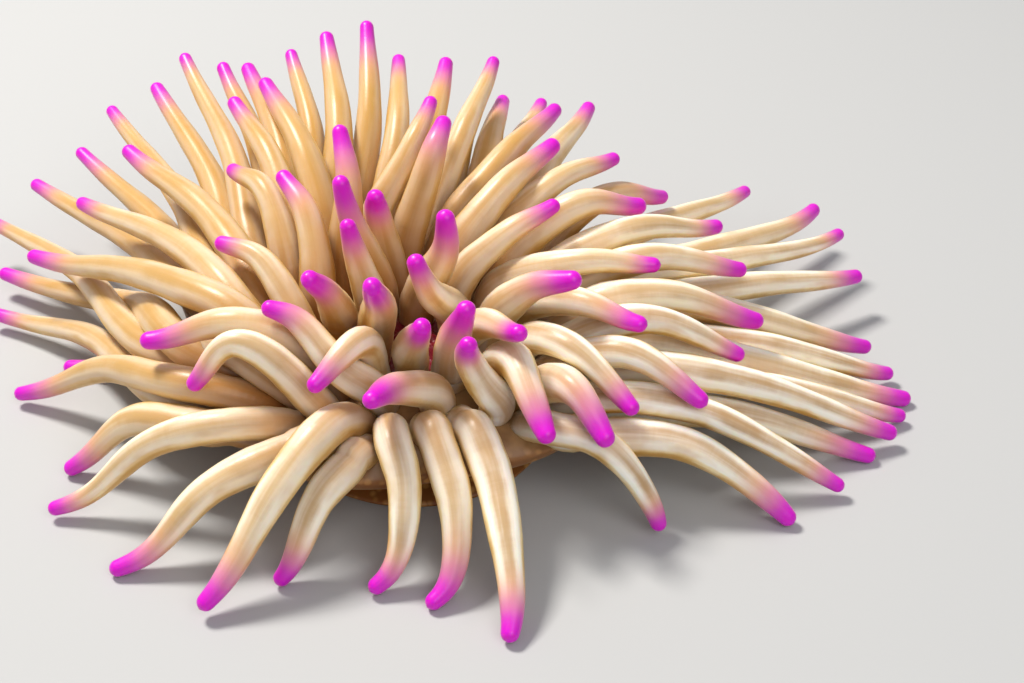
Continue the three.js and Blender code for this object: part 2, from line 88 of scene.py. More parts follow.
@dataclass(frozen=True)
class Cycle:
    """One ring of tentacles on the disc, with its lies at a few azimuths of the root."""

    count: int
    turn: float
    radii: tuple[float, ...]
    lean: float
    arch: float
    girth: float
    lies: tuple[Lie, ...]

    def lie_at(self, azimuth: float) -> Lie:
        """The lie between the two given ones on either side of an azimuth.

        Args:
            azimuth: Azimuth of a root in degrees.

        Returns:
            The lie in proportion to how near each of the two is.
        """
        later = [k for k, lie in enumerate(self.lies) if lie.at > azimuth]
        after = self.lies[later[0] if later else 0]
        before = self.lies[(later[0] if later else 0) - 1]
        t = ((azimuth - before.at) % TURN) / ((after.at - before.at) % TURN)
        return Lie(
            azimuth,
            before.sweep + (after.sweep - before.sweep) * t,
            before.reach + (after.reach - before.reach) * t,
            before.height + (after.height - before.height) * t,
        )


# From the six round the mouth to the unfinished cycle of the margin.
CYCLES = (
    Cycle(
        count=6,
        turn=30.0,
        radii=(12.0,),
        lean=8.0,
        arch=8.0,
        girth=1.02,
        lies=(
            Lie(30, -115, 12, 58),
            Lie(90, -60, 10, 62),
            Lie(150, 25, 16, 62),
            Lie(210, 45, 32, 62),
            Lie(270, 10, 32, 54),
            Lie(330, -20, 42, 46),
        ),
    ),
    Cycle(
        count=6,
        turn=0.0,
        radii=(18.0,),
        lean=15.0,
        arch=12.0,
        girth=1.0,
        lies=(
            Lie(0, -20, 44, 54),
            Lie(60, -25, 46, 52),
            Lie(120, 25, 22, 68),
            Lie(180, 35, 30, 58),
            Lie(240, -5, 45, 34),
            Lie(300, 0, 30, 56),
        ),
    ),
    Cycle(
        count=12,
        turn=15.0,
        radii=(26.0,),
        lean=22.0,
        arch=16.0,
        girth=1.0,
        lies=(
            Lie(15, -32, 60, 42),
            Lie(45, -37, 64, 40),
            Lie(75, -20, 68, 52),
            Lie(105, 13, 22, 58),
            Lie(135, -20, 48, 66),
            Lie(195, -32, 54, 46),
            Lie(225, -33, 68, 34),
            Lie(255, -50, 42, 42),
            Lie(285, -24, 50, 44),
            Lie(315, -10, 57, 28),
            Lie(345, -17, 64, 26),
        ),
    ),
    Cycle(
        count=24,
        turn=7.5,
        radii=(33.5,),
        lean=30.0,
        arch=26.0,
        girth=1.0,
        lies=(
            Lie(7.5, -2, 90, 28),
            Lie(37.5, -12, 90, 38),
            Lie(52.5, -20, 72, 44),
            Lie(82.5, -18, 88, 52),
            Lie(97.5, -14, 52, 64),
            Lie(112.5, -27, 62, 64),
            Lie(127.5, -8, 92, 60),
            Lie(142.5, -17, 90, 58),
            Lie(157.5, -20, 68, 52),
            Lie(172.5, -31, 106, 46),
            Lie(202.5, -45, 114, 20),
            Lie(217.5, -50, 102, 4),
            Lie(232.5, -28, 56, 30),
            Lie(247.5, -10, 87, 2),
            Lie(262.5, 1, 66, 2),
            Lie(277.5, -3, 71, 2),
            Lie(292.5, -7, 86, 2),
            Lie(307.5, -15, 43, 54),
            Lie(322.5, -8, 66, 30),
            Lie(345, 5, 80, 24),
        ),
    ),
    Cycle(
        count=48,
        turn=0.0,
        radii=(40.5, 46.5),
        lean=58.0,
        arch=27.0,
        girth=0.96,
        lies=(
            Lie(0, 4, 132, 2),
            Lie(15, -3, 126, 4),
            Lie(24, 2, 137, 14),
            Lie(37.5, 0, 146, 14),
            Lie(45, -1, 132, 18),
            Lie(52.5, -9, 95, 30),
            Lie(60, 6, 118, 38),
            Lie(75, 4, 105, 44),
            Lie(90, -12, 98, 58),
            Lie(105, -10, 100, 58),
            Lie(112.5, -13, 100, 70),
            Lie(135, -17, 110, 56),
            Lie(150, -26, 125, 56),
            Lie(165, -33, 140, 38),
            Lie(187.5, -40, 150, 12),
            Lie(202.5, -44, 128, 6),
            Lie(210, -37, 105, 2),
            Lie(217.5, -25, 90, 2),
            Lie(225, -23, 96, 2),
            Lie(240, -20, 92, 2),
            Lie(255, -12, 70, 2),
            Lie(315, 11, 74, 2),
            Lie(323, 14, 104, 2),
            Lie(337.5, 16, 119, 2),
        ),
    ),
)


def linear(hex_colour: str) -> tuple:
    """Turns an sRGB hex colour into linear light.

    Args:
        hex_colour: Six hex digits, with or without a leading hash.

    Returns:
        Red, green, blue and an alpha of one.
    """
    digits = hex_colour.lstrip("#")
    channels = [int(digits[k : k + 2], 16) / 255.0 for k in (0, 2, 4)]
    bent = [c / 12.92 if c <= 0.04045 else ((c + 0.055) / 1.055) ** 2.4 for c in channels]
    return (*bent, 1.0)


def add_node(tree: Tree, kind: str, inputs: dict, **settings: object) -> bpy.types.Node:
    """Adds a node with its settings and the links into it.

    Args:
        tree: The node tree that takes the node.
        kind: The node's type name.
        inputs: What goes into each input, by the input's name or number. A socket is linked to
            it, and anything else becomes its value.
        **settings: Values of the node's own properties.

    Returns:
        The new node.
    """
    node = tree.nodes.new(kind)
    for name, value in settings.items():
        setattr(node, name, value)
    for name, value in inputs.items():
        if isinstance(value, Socket):
            tree.links.new(value, node.inputs[name])
        else:
            node.inputs[name].default_value = value
    return node


def passage(tree: Tree, value: Socket, first: object, *stops: tuple[Rise, object]) -> Socket:
    """A colour that passes smoothly into others while a value rises.

    Args:
        tree: The node tree.
        value: The rising value.
        first: The colour before all stops, a hex colour or a socket.
        *stops: The rise of each further colour, and the colour, a hex colour or a socket.

    Returns:
        The colour's socket.
    """
    colour = linear(first) if isinstance(first, str) else first
    for (begin, end, most), following in stops:
        following = linear(following) if isinstance(following, str) else following
        span = {0: value, 1: begin, 2: end, 3: 0.0, 4: most}
        span = add_node(tree, "ShaderNodeMapRange", span, interpolation_type="SMOOTHSTEP")
        pair = {0: span.outputs[0], 6: colour, 7: following}
        colour = add_node(tree, "ShaderNodeMix", pair, data_type="RGBA").outputs[2]
    return colour


def unit(vectors: Array) -> Array:
    """Scales vectors to a length of one along their last axis."""
    return vectors / np.maximum(np.linalg.norm(vectors, axis=-1, keepdims=True), TINY)


def grid_faces(rows: int, columns: int) -> Array:
    """Quads of a grid that closes on itself round each row.

    Args:
        rows: Number of rows of points.
        columns: Number of points round a row.

    Returns:
        Four point numbers for each quad, with faces outward where each row turns against the
        clock as seen from the row after it.
    """
    row, column = np.meshgrid(np.arange(rows - 1), np.arange(columns), indexing="ij")
    after = (column + 1) % columns
    base = row * columns
    quads = np.stack(
        [base + column, base + after, base + columns + after, base + columns + column], axis=-1
    )
    return quads.reshape(-1, 4)


def end_caps(rows: int, columns: int) -> Array:
    """Triangles that close the first and the last row of a grid to a point each.

    Args:
        rows: Number of rows of points.
        columns: Number of points round a row.

    Returns:
        Three point numbers for each triangle, where the two closing points follow the grid's.
    """
    column = np.arange(columns)
    after = (column + 1) % columns
    last = (rows - 1) * columns
    first_pole = np.full_like(column, rows * columns)
    low = np.stack([first_pole, after, column], axis=-1)
    high = np.stack([last + column, last + after, first_pole + 1], axis=-1)
    return np.vstack([low, high])


def place(azimuth: float, reach: float, height: float) -> Array:
    """A point from an azimuth in degrees, a distance from the axis and a height."""
    angle = math.radians(azimuth)
    return np.array([reach * math.cos(angle), reach * math.sin(angle), height])


def bell(value: Array, middle: float, spread: float) -> Array:
    """A bell curve of height one."""
    return np.exp(-(((value - middle) / spread) ** 2))


def catmull(four: Array, t: Array) -> Array:
    """The cubic through the middle two of four points, steered by the outer two.

    Args:
        four: The four points, on the first axis.
        t: Shares of the way from the second point to the third.

    Returns:
        The points at those shares.
    """
    a, b, c, d = four[0], four[1], four[2], four[3]
    return 0.5 * (
        2 * b + (c - a) * t + (2 * a - 5 * b + 4 * c - d) * t**2 + (3 * b - a - 3 * c + d) * t**3
    )


def hermite(start: Array, pull: Array, end: Array, end_pull: Array, t: Array) -> Array:
    """The cubic between two points with a tangent at each.

    Args:
        start: The first point.
        pull: The tangent there.
        end: The last point.
        end_pull: The tangent there.
        t: Shares of the way from the first point to the last.

    Returns:
        The points at those shares, one to a row.
    """
    t = t[:, None]
    return (
        (2 * t**3 - 3 * t**2 + 1) * start
        + (t**3 - 2 * t**2 + t) * pull
        + (3 * t**2 - 2 * t**3) * end
        + (t**3 - t**2) * end_pull
    )


@dataclass
class Trunk:
    """Foot, column, parapet, disc and lips as one turned surface.

    The surface is a smooth profile turned about the upright axis. Furrows of the column, folds
    where it is drawn down, grooves between the roots and folds of the lips move its points, and
    the margin of the disc is drawn in on one side.
    """

    foot_radius: float = 33.0
    foot_edge_radius: float = 34.2
    waist_radius: float = 27.0
    parapet_radius: float = 47.4
    inner_radius: float = 37.2
    disc_height: float = 26.0
    disc_drop: float = 9.0
    disc_radius: float = 50.4
    drawn_in_at: float = 285.0
    drawn_in_spread: float = 32.0
    drawn_in_share: float = 0.75
    lip_rise: float = 1.6
    lip_radius: float = 4.6
    slit_half_length: float = 4.2
    slit_half_width: float = 1.0
    slit_depth: float = 5.0
    furrow_pairs: int = 24
    furrow_depth: float = 0.45
    fold_pitch: float = 2.3
    fold_depth: float = 0.5
    groove_depth: float = 0.5
    lip_folds: int = 14
    lip_fold_height: float = 0.4
    upper_side: float = 17.5
    fine_step: float = 0.6
    coarse_step: float = 2.6
    columns: int = 144
    drop_power: int = 4
    fold_height: float = 6.0
    fold_spread: float = 3.4
    fold_reach: float = 40.0
    fold_from: float = 0.3
    fold_sway: float = 0.7
    fold_sways: int = 3
    furrow_stray: float = 0.4
    furrow_strays: int = 7
    furrow_phase: float = 1.0
    groove_at: float = 30.0
    groove_spread: float = 22.0
    groove_from: float = 7.0
    lip_fold_spread: float = 1.9
    slit_fullness: float = 1.2

    def disc_top(self, radius: Array) -> Array:
        """Height of the disc's upper face at a distance from the axis."""
        share = np.minimum(np.asarray(radius, float) / self.disc_radius, 1.0)
        return self.disc_height - self.disc_drop * share**self.drop_power

    def margin_share(self, x: Array, y: Array) -> Array:
        """Share of its full width that the margin has at a point."""
        azimuth = np.degrees(np.arctan2(y, x)) % TURN
        return 1 - self.drawn_in_share * bell(azimuth, self.drawn_in_at, self.drawn_in_spread)

    def edge(self, x: Array, y: Array) -> Array:
        """Distance of the margin's edge from the axis, in the direction of a point."""
        return self.inner_radius + (self.disc_radius - self.inner_radius) * self.margin_share(x, y)

    def outline(self) -> Array:
        """Corner points of the profile, from the middle of the foot to the middle of the mouth.

        Returns:
            Distance from the axis, height, and the spacing of points up to the next corner.
        """
        fine, coarse = self.fine_step, self.coarse_step
        # The foot's flat face, its edge, the waist, the parapet and the underside of the margin.
        under = [
            (0.0, 0.0, coarse),
            (12.0, 0.0, coarse),
            (24.0, 0.0, coarse),
            (self.foot_radius - 0.6, 0.0, fine),
            (self.foot_edge_radius, 1.2, fine),
            (self.foot_radius - 1.4, 2.8, fine),
            (self.waist_radius + 1.8, 4.4, fine),
            (self.waist_radius, 7.0, fine),
            (self.waist_radius + 2.6, 9.8, fine),
            (self.inner_radius, 11.3, fine),
            (42.6, 12.0, fine),
            (self.parapet_radius, 13.3, fine),
            (self.disc_radius - 0.4, 16.2, fine),
        ]
        # The disc from its edge inwards, then the lips, whose heights are shares of their rise.
        radii = (49.6, 46.0, 42.0, 36.0, 29.0, 22.0, 15.0, 10.0)
        top = [(radius, float(self.disc_top(radius)), coarse) for radius in radii]
        rises = ((7.6, 0.0), (6.2, 0.5), (self.lip_radius, 1.0), (3.0, 0.7), (1.5, 0.3), (0.0, 0.1))
        lips = [(radius, self.disc_height + rise * self.lip_rise, fine) for radius, rise in rises]
        return np.array(under + top + lips)

    def rows(self) -> tuple[Array, Array]:
        """Points of the smooth profile.

        Each stretch between corners is a cubic through its ends and steered by its neighbours.

        Returns:
            The points and their distances along the profile.
        """
        outline = self.outline()
        corners, spacing = outline[:, :2], outline[:, 2]
        ends = np.vstack([2 * corners[0] - corners[1], corners, 2 * corners[-1] - corners[-2]])
        pieces = []
        for k in range(len(corners) - 1):
            length = float(np.linalg.norm(corners[k + 1] - corners[k]))
            count = max(2, round(length / spacing[k]))
            t = np.linspace(0.0, 1.0, count, endpoint=False)[:, None]
            pieces.append(catmull(ends[k : k + 4], t))
        points = np.maximum(np.vstack(pieces + [corners[-1:]]), 0.0)
        along = np.concatenate([[0.0], np.cumsum(np.linalg.norm(np.diff(points, axis=0), axis=1))])
        return points, along

    def build(self) -> dict:
        """The turned surface with its poles closed.

        Folds are waves of the height, furrows waves of the turn, both added to the distance from
        the axis. Grooves and lip folds are waves of the turn taken from the height, and the slit
        of the mouth is an oval dip.

        Returns:
            The arrays that Crown.build gives. Lengths run from the middle of the foot, the
            number of the tentacle is -1, and fibres and lengths from a tip are zeros.
        """
        profile, along = self.rows()
        inner, inner_along = profile[1:-1], along[1:-1]
        angle = np.linspace(0.0, 2 * math.pi, self.columns, endpoint=False)
        radius, theta = np.meshgrid(inner[:, 0], angle, indexing="ij")
        height = np.repeat(inner[:, 1:], self.columns, axis=1)
        above = height > self.upper_side
        on_side = bell(height, self.fold_height, self.fold_spread)
        on_side = on_side * (height > self.fold_from) * (radius < self.fold_reach)
        sway = self.fold_sway * np.sin(self.fold_sways * theta)
        folds = np.sin(2 * math.pi * height / self.fold_pitch + sway)
        stray = self.furrow_stray * np.cos(self.furrow_strays * theta + self.furrow_phase)
        furrows = np.cos(self.furrow_pairs * theta) + stray
        radius = radius + on_side * (self.fold_depth * folds + self.furrow_depth * furrows)
        on_disc = above * bell(radius, self.groove_at, self.groove_spread)
        on_disc = on_disc * (radius > self.groove_from)
        grooves = 0.5 + 0.5 * np.cos(2 * self.furrow_pairs * theta)
        near_lips = above * bell(radius, self.lip_radius, self.lip_fold_spread)
        height = height - self.groove_depth * on_disc * grooves
        height = height + self.lip_fold_height * near_lips * np.cos(self.lip_folds * theta)
        beyond = np.maximum(radius - self.inner_radius, 0.0)
        drawn = beyond * (1 - self.margin_share(np.cos(theta), np.sin(theta)))
        x, y = (radius - drawn) * np.cos(theta), (radius - drawn) * np.sin(theta)
        oval = (x / self.slit_half_length) ** 2 + (y / self.slit_half_width) ** 2
        height = height - above * self.slit_depth * np.exp(-(oval**self.slit_fullness))
        ring = np.stack([x, y, height], axis=-1).reshape(-1, 3)
        middle = [0.0, 0.0, profile[-1, 1] - self.slit_depth]
        rows = len(inner)
        count = len(ring) + 2
        return {
            "points": np.vstack([ring, [[0.0, 0.0, 0.0]], [middle]]),
            "quads": grid_faces(rows, self.columns),
            "triangles": end_caps(rows, self.columns),
            "turn": np.concatenate([np.tile(angle, rows) / (2 * math.pi), [0.0, 0.0]]),
            "length": np.concatenate([np.repeat(inner_along, self.columns), [0.0, along[-1]]]),
            "from_tip": np.zeros(count),
            "fibre": np.zeros((count, 3)),
            "owner": np.full(count, -1),
        }


@dataclass
class Crown:
    """The tentacles: their routes, how they settle, and the tubes carried along them."""

    trunk: Trunk
    root_girth: float = 4.6
    tip_girth: float = 1.95
    taper_share: float = 0.7
    taper_fullness: float = 1.25
    neck_share: float = 0.12
    neck_depth: float = 0.1
    girth_spread: float = 0.06
    girth_turn: float = 2.4
    facet_swell: float = 1.05
    floor_press: float = 0.8
    gap: float = 0.3
    stations: int = 19
    mid_share_least: float = 0.3
    mid_share_most: float = 0.7
    mid_sweep: float = 0.85
    arch_span: float = 110.0
    root_pull: float = 1.0
    tip_pull: float = 0.8
    front_at: float = 290.0
    front_spread: float = 45.0
    front_lean: float = 26.0
    front_flatness: float = 0.7
    current_azimuth: float = 172.0
    drift_height: float = 40.0
    tip_drift: float = 0.6
    tip_rise: float = 0.35
    curl_reach: float = 26.0
    bow: float = 6.5
    drift_spread: float = 0.5
    drift_turn: float = 1.7
    thin_from: float = 228.0
    bare_from: float = 258.0
    bare_to: float = 312.0
    passes: int = 160
    rate: float = 0.5
    spread: float = 0.25
    clearance: float = 1.1
    fixed: int = 2
    watch: float = 4.0
    watch_share: float = 0.25
    smoothings: int = 3
    body_rows: int = 38
    dome_rows: int = 6
    sides: int = 20
    root_depth: float = 2.2
    lump_run: float = 19.0
    lump_share: float = 0.02
    fold_run: float = 6.5
    fold_share: float = 0.02
    fold_fade: float = 22.0
    ovalness: float = 0.025
    tip_share: float = 0.35
    tip_at: float = 0.97
    fibre_shift: float = 170.0
    # The upper face, which the painted light of each tentacle's bands is laid round, turns up and
    # towards the front.
    face: tuple = (0.0, -0.6, 0.8)
    girths: Array = field(default_factory=lambda: np.zeros(0))
    paths: Array = field(default_factory=lambda: np.zeros(0))

    def route(self, cycle: Cycle, azimuth: float, radius: float, drift: float) -> Array:
        """The stations of a tentacle from root to tip, before the crown settles.

        Two cubics meet at the middle, which arches over the straight line from root to tip, the
        higher the shorter that line is. Round one azimuth at the front the root leans further over
        and the arch is flatter. A gentle current bows the middle of a low tentacle and curls its
        tip.

        Args:
            cycle: The ring that the tentacle belongs to.
            azimuth: Azimuth of its root in degrees.
            radius: Distance of its root from the axis.
            drift: How strongly the current takes it, about one.

        Returns:
            The stations.
        """
        lie = cycle.lie_at(azimuth)
        root = place(azimuth, radius, float(self.trunk.disc_top(radius)))
        tip = place(azimuth + lie.sweep, lie.reach, lie.height)
        along = unit(tip - root)
        front = float(bell(azimuth, self.front_at, self.front_spread))
        shortness = max(1 - float(np.linalg.norm(tip - root)) / self.arch_span, 0.0)
        arch = cycle.arch * shortness * (1 - self.front_flatness * front)
        mid_azimuth = azimuth + self.mid_sweep * lie.sweep
        middle = place(mid_azimuth, (radius + lie.reach) / 2, (root[2] + tip[2]) / 2 + arch)
        strength = drift * max(1 - lie.height / self.drift_height, 0.0)
        current = place(self.current_azimuth, strength, 0.0)
        middle = middle - self.bow * (current - np.dot(current, along) * along)
        near = float(np.linalg.norm(middle - root))
        far = float(np.linalg.norm(tip - middle))
        lean = math.radians(cycle.lean + self.front_lean * front)
        launch = place(azimuth, math.sin(lean), math.cos(lean)) * near * self.root_pull
        curl = min(far, self.curl_reach)
        tip_pull = (tip - middle) * self.tip_pull + current * self.tip_drift * curl
        tip_pull[2] += self.tip_rise * curl * drift
        mid_share = min(max(near / (near + far), self.mid_share_least), self.mid_share_most)
        share = np.arange(self.stations) / (self.stations - 1)
        lower = share[share < mid_share] / mid_share
        upper = (share[share >= mid_share] - mid_share) / (1 - mid_share)
        first = hermite(root, launch, middle, along * near, lower)
        second = hermite(middle, along * far, tip, tip_pull, upper)
        return np.vstack([first, second])

    def is_missing(self, cycle: Cycle, slot: int, azimuth: float) -> bool:
        """Whether the last, unfinished cycle has no tentacle in a slot.

        Args:
            cycle: The ring.
            slot: Number of the slot in it.
            azimuth: Azimuth of the slot in degrees.

        Returns:
            True where no tentacle grows.
        """
        if cycle is not CYCLES[-1] or azimuth < self.thin_from or azimuth > self.bare_to:
            return False
        return azimuth > self.bare_from or slot % 2 == 1

    def grow(self) -> None:
        """Sets the paths and the girths of every tentacle, slot by slot."""
        paths, girths = [], []
        for cycle in CYCLES:
            for slot in range(cycle.count):
                azimuth = cycle.turn + TURN * slot / cycle.count
                if self.is_missing(cycle, slot, azimuth):
                    continue
                drift = 1 + self.drift_spread * math.sin(self.drift_turn * len(paths))
                spread = 1 + self.girth_spread * math.sin(self.girth_turn * len(paths))
                radius = cycle.radii[slot % len(cycle.radii)]
                girths.append(cycle.girth * spread)
                paths.append(self.route(cycle, azimuth, radius, drift))
        self.paths = np.array(paths)
        self.girths = np.array(girths)

    def girth_at(self, share: Array) -> Array:
        """Half-thickness of each tentacle, one row for each, at shares of its length.

        It narrows a little at the root and swells to its full girth, and tapers to the tip along
        a curve that stays full for long.

        Args:
            share: Shares of the length, the same for all or a row for each tentacle.

        Returns:
            The half-thickness at each share.
        """
        rise = np.minimum((1 - share) / self.taper_share, 1.0)
        fill = 1 - (1 - rise) ** self.taper_fullness
        neck = 1 - self.neck_depth * np.maximum(1 - share / self.neck_share, 0.0) ** 2
        girth = self.tip_girth + (self.root_girth - self.tip_girth) * fill
        return self.girths[:, None] * neck * girth

    def lift(self, girth: Array) -> None:
        """Lifts the free stations off the disc and the floor.

        Args:
            girth: Half-thickness at each station.
        """
        x, y = self.paths[..., 0], self.paths[..., 1]
        reach = np.hypot(x, y)
        on_disc = self.trunk.disc_top(reach) + girth * self.facet_swell + self.gap
        bed = np.where(reach > self.trunk.edge(x, y) + girth, girth * self.floor_press, on_disc)
        free = slice(self.fixed, None)
        self.paths[:, free, 2] = np.maximum(self.paths[:, free, 2], bed[:, free])

    def neighbours(self, need: Array) -> tuple[Array, Array]:
        """Pairs of stations of different tentacles that lie near enough to meet soon.

        Args:
            need: The girth of each station, in order.

        Returns:
            The numbers of the first and of the second station of each pair.
        """
        flat = self.paths.reshape(-1, 3)
        owner = np.repeat(np.arange(len(self.paths)), self.stations)
        rank = np.tile(np.arange(self.stations), len(self.paths))
        distance = np.linalg.norm(flat[:, None] - flat[None], axis=-1)
        close = distance < need[:, None] + need[None] + self.clearance + self.watch
        close &= owner[:, None] < owner[None]
        close &= rank[:, None] + rank[None] >= self.fixed
        return np.nonzero(close)

    def settle(self) -> None:
        """Lets tentacles that lie in one another push apart, and evens the moves along each.

        Two stations nearer than their girths and a clearance move apart by a share of what is
        missing. Each station's move is then mixed with its neighbours', and lifted off the bed.
        Pairs are sought afresh as soon as a station has moved a share of the watched distance.
        """
        girth = self.girth_at(np.arange(self.stations) / (self.stations - 1))
        need = girth.ravel()
        self.lift(girth)
        start = self.paths.copy()
        marks = self.paths.copy()
        first, second = self.neighbours(need)
        free = slice(self.fixed, None)
        for _ in range(self.passes):
            if np.abs(self.paths - marks).max() > self.watch * self.watch_share:
                first, second = self.neighbours(need)
                marks = self.paths.copy()
            flat = self.paths.reshape(-1, 3)
            apart = flat[first] - flat[second]
            distance = np.linalg.norm(apart, axis=1)
            short = need[first] + need[second] + self.clearance - distance
            push = self.rate * np.maximum(short, 0.0)[:, None] * apart / distance[:, None]
            total = np.zeros_like(flat)
            np.add.at(total, first, push)
            np.add.at(total, second, -push)
            self.paths[:, free] += total.reshape(self.paths.shape)[:, free]
            moved = self.paths - start
            after = np.concatenate([moved[:, 1:], moved[:, -1:]], axis=1)
            before = np.concatenate([moved[:, :1], moved[:, :-1]], axis=1)
            even = self.spread * (before + after) + (1 - 2 * self.spread) * moved
            self.paths[:, free] = start[:, free] + even[:, free]
            self.lift(girth)

    def soften(self) -> None:
        """Takes the kinks out of the settled paths: each station moves to its neighbours' mean."""
        for _ in range(self.smoothings):
            mean = 0.5 * (self.paths[:, :-2] + self.paths[:, 2:])
            self.paths[:, 1:-1] = 0.5 * (self.paths[:, 1:-1] + mean)
        self.lift(self.girth_at(np.arange(self.stations) / (self.stations - 1)))

    def along_path(self, at: Array) -> Array:
        """Points of every path at fractional stations, by a cubic through four stations each.

        Args:
            at: The stations, a row for each path.

        Returns:
            The points, row by row.
        """
        last = self.stations - 1
        low = np.clip(np.floor(at).astype(int), 0, last - 1)
        which = np.arange(len(self.paths))[:, None]
        ends = [np.clip(low + shift, 0, last) for shift in (-1, 0, 1, 2)]
        return catmull(np.stack([self.paths[which, end] for end in ends]), (at - low)[..., None])

    def frames(self, centres: Array) -> tuple[Array, Array, Array]:
        """Directions along and across each path, turning as little as they can.

        Args:
            centres: Points of the paths, row by row.

        Returns:
            The tangents, the directions of the upper face, and those across both.
        """
        tangent = unit(np.gradient(centres, axis=1))
        rows = centres.shape[1]
        face = np.zeros_like(centres)
        start = rows // 2
        look = np.broadcast_to(np.array(self.face), centres[:, 0].shape)
        for row in list(range(start, rows)) + list(range(start - 1, -1, -1)):
            if row == start - 1:
                look = face[:, start]
            along = tangent[:, row]
            look = unit(look - np.sum(look * along, axis=-1, keepdims=True) * along)
            face[:, row] = look
        return tangent, face, np.cross(tangent, face)

    def swellings(self, length: Array) -> Array:
        """Share by which a tentacle is thicker or thinner at each length from its root.

        A long slow wave makes it lumpy, and a quick wave that dies away makes folds by the root.

        Args:
            length: Lengths from the root, a row for each tentacle.

        Returns:
            Shares of the girth, about one.
        """
        phase = np.arange(len(length))[:, None] * self.girth_turn
        lumps = np.sin(2 * math.pi * length / self.lump_run + phase)
        folds = np.exp(-length / self.fold_fade) * np.sin(2 * math.pi * length / self.fold_run + phase)
        return 1 + self.lump_share * lumps + self.fold_share * folds

    def build(self) -> dict:
        """Closed tubes along all the paths, with domed tips and roots sunk into the disc.

        A row of the body is a slightly oval ring of the tentacle's girth round its centre. The
        dome's rows shrink and advance as a half ball does.

        Returns:
            Points, quads and triangles, and for each point its turn round the tentacle, its
            length from the root and from the tip, its tentacle's number, and its fibre: a point
            on a straight round bar, in millimetres, that stands for the unbent tentacle.
        """
        count = len(self.paths)
        spacing = np.linalg.norm(np.diff(self.paths, axis=1), axis=2)[:, -2:].mean(axis=1)
        tip_radius = self.girth_at(np.array([self.tip_at]))
        end = (self.stations - 1) - tip_radius / spacing[:, None]
        at = np.linspace(0.0, 1.0, self.body_rows)[None] * end
        centres = self.along_path(at)
        tangent, face, across = self.frames(centres)
        steps = np.linalg.norm(np.diff(centres, axis=1), axis=2)
        length = np.concatenate([np.zeros((count, 1)), np.cumsum(steps, axis=1)], axis=1)
        girth = self.girth_at(at / (self.stations - 1)) * self.swellings(length)
        tilt = np.linspace(0.0, math.pi / 2, self.dome_rows + 1)[1:-1]
        sunk = centres[:, :1] - self.root_depth * tangent[:, :1]
        dome = centres[:, -1:] + tangent[:, -1:] * (girth[:, -1:, None] * np.sin(tilt)[:, None])
        total = length[:, -1:] + tip_radius
        dome_length = length[:, -1:] + tip_radius * np.sin(tilt)
        repeats = [2] + [1] * (self.body_rows - 2) + [1 + len(tilt)]
        face, across = np.repeat(face, repeats, axis=1), np.repeat(across, repeats, axis=1)
        wrap = np.repeat(np.ones(self.body_rows), repeats)
        wrap[-len(tilt) :] = np.cos(tilt)
        centres = np.concatenate([sunk, centres, dome], axis=1)
        girth = np.repeat(girth, repeats, axis=1) * wrap
        length = np.concatenate([np.full((count, 1), -self.root_depth), length, dome_length], 1)
        rows = centres.shape[1]
        angle = np.linspace(0.0, 2 * math.pi, self.sides, endpoint=False)
        oval = 1 + self.ovalness * np.cos(2 * angle + np.arange(count)[:, None] * self.girth_turn)
        ring = np.cos(angle)[:, None] * face[:, :, None]
        ring = ring + np.sin(angle)[:, None] * across[:, :, None]
        points = centres[:, :, None] + ring * (girth[:, :, None] * oval[:, None])[..., None]
        tips = centres[:, -1] + tangent[:, -1] * (girth[:, -1] * self.tip_share)[:, None]
        body = points.reshape(count, rows * self.sides, 3)
        stack = np.concatenate([body, centres[:, :1], tips[:, None]], axis=1).reshape(-1, 3)
        stack[:, 2] = np.maximum(stack[:, 2], 0.0)
        per = rows * self.sides + 2
        offset = (np.arange(count) * per)[:, None, None]
        from_root = np.repeat(length, self.sides, axis=1)
        from_root = np.concatenate([from_root, np.full((count, 1), -self.root_depth), total], 1)
        bar = self.root_girth * np.stack([np.outer(wrap, np.cos(angle)), np.outer(wrap, np.sin(angle))])
        bar = np.tile(np.pad(bar.reshape(2, -1), ((0, 0), (0, 2))), count)
        owner = np.repeat(np.arange(count), per)
        return {
            "points": stack,
            "quads": (grid_faces(rows, self.sides)[None] + offset).reshape(-1, 4),
            "triangles": (end_caps(rows, self.sides)[None] + offset).reshape(-1, 3),
            "turn": np.tile(np.append(np.tile(angle / (2 * math.pi), rows), [0.0, 0.0]), count),
            "length": from_root.ravel(),
            "from_tip": (total - from_root).ravel(),
            "fibre": np.stack([bar[0], bar[1], from_root.ravel() + self.fibre_shift * owner], axis=1),
            "owner": owner,
        }


@dataclass(frozen=True)
class TentacleFlesh:
    """Colours of the tentacles: cream with a tan middle that is partly painted shade, a satiny white
    beside it that is partly painted highlight, golden sides and backlit tentacles that are painted
    glow, dark orange-brown painted shade by the root, and a violet cap.
    """

    # The tan middle is partly the flesh's own stripe and partly painted shade; the satiny white beside
    # it is partly pale muscle and partly painted highlight.
    band_and_shade: str = "#AE8760"
    satin_and_highlight: str = "#FFFDF6"
    cream: str = "#F6E2B0"
    # Golden glow painted on the flanks and on backlit tentacles, and also the tentacles' own golden
    # patches.
    gold_glow_and_tone: str = "#C29032"
    # Dark orange-brown painted shade that deepens towards the root.
    shade_amber: str = "#95561A"
    blush: str = "#DC9F84"
    rose: str = "#D474A6"
    mauve: str = "#D02CC0"
    violet: str = "#D206C6"


@dataclass(frozen=True)
class TrunkFlesh:
    """Colours of the firmer flesh of the column, the disc and the lips."""

    # The column's orange-brown is partly its own and partly painted shade beneath the crown; the warts
    # show its own lighter tan.
    column: str = "#8A5626"
    wart: str = "#B98648"
    disc: str = "#A88256"
    # A darker brown laid over the disc in random patches.
    disc_mottle: str = "#6E4A30"
    lips: str = "#7A1226"


